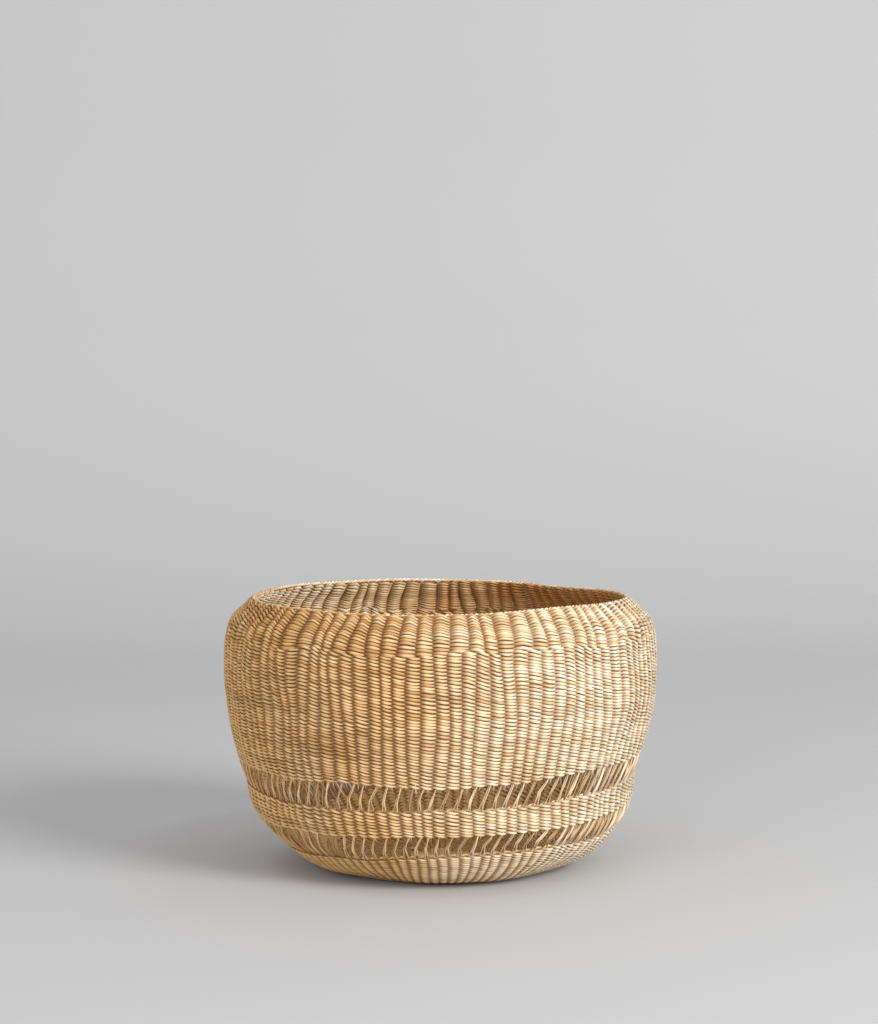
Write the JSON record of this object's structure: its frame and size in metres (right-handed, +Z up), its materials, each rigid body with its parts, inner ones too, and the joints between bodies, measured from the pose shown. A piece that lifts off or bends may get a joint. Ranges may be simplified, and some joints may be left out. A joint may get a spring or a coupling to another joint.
{
  "type": "storage basket",
  "caption": "Round open storage basket of twined grass with a full belly, a drawn-in mouth, a ribbed wall and two openwork bands of forked stakes low on the wall.",
  "frame": {"origin": "centre of the flat underside that the basket stands on", "axes": "+Z up along the basket's axis, +Y away from the viewer, +X to the viewer's right, the side where the rows climb highest"},
  "size_m": [0.3799, 0.3798, 0.2364],
  "materials": {
    "floor_grass": "twined grass, matt",
    "foot_grass": "twined grass, matt",
    "stake_grass": "bare split grass stakes, satin",
    "wall_grass": "twined grass, satin",
    "rim_grass": "twisted grass cord, satin"
  },
  "bodies": {
    "root": {"base_floor": "floor_grass", "start_cross": "stake_grass", "foot_siding": "foot_grass", "lower_openwork": "stake_grass", "middle_siding": "wall_grass", "upper_openwork": "stake_grass", "body_siding": "wall_grass", "shoulder_siding": "wall_grass", "rim_cord": "rim_grass"}
  },
  "joints": []
}
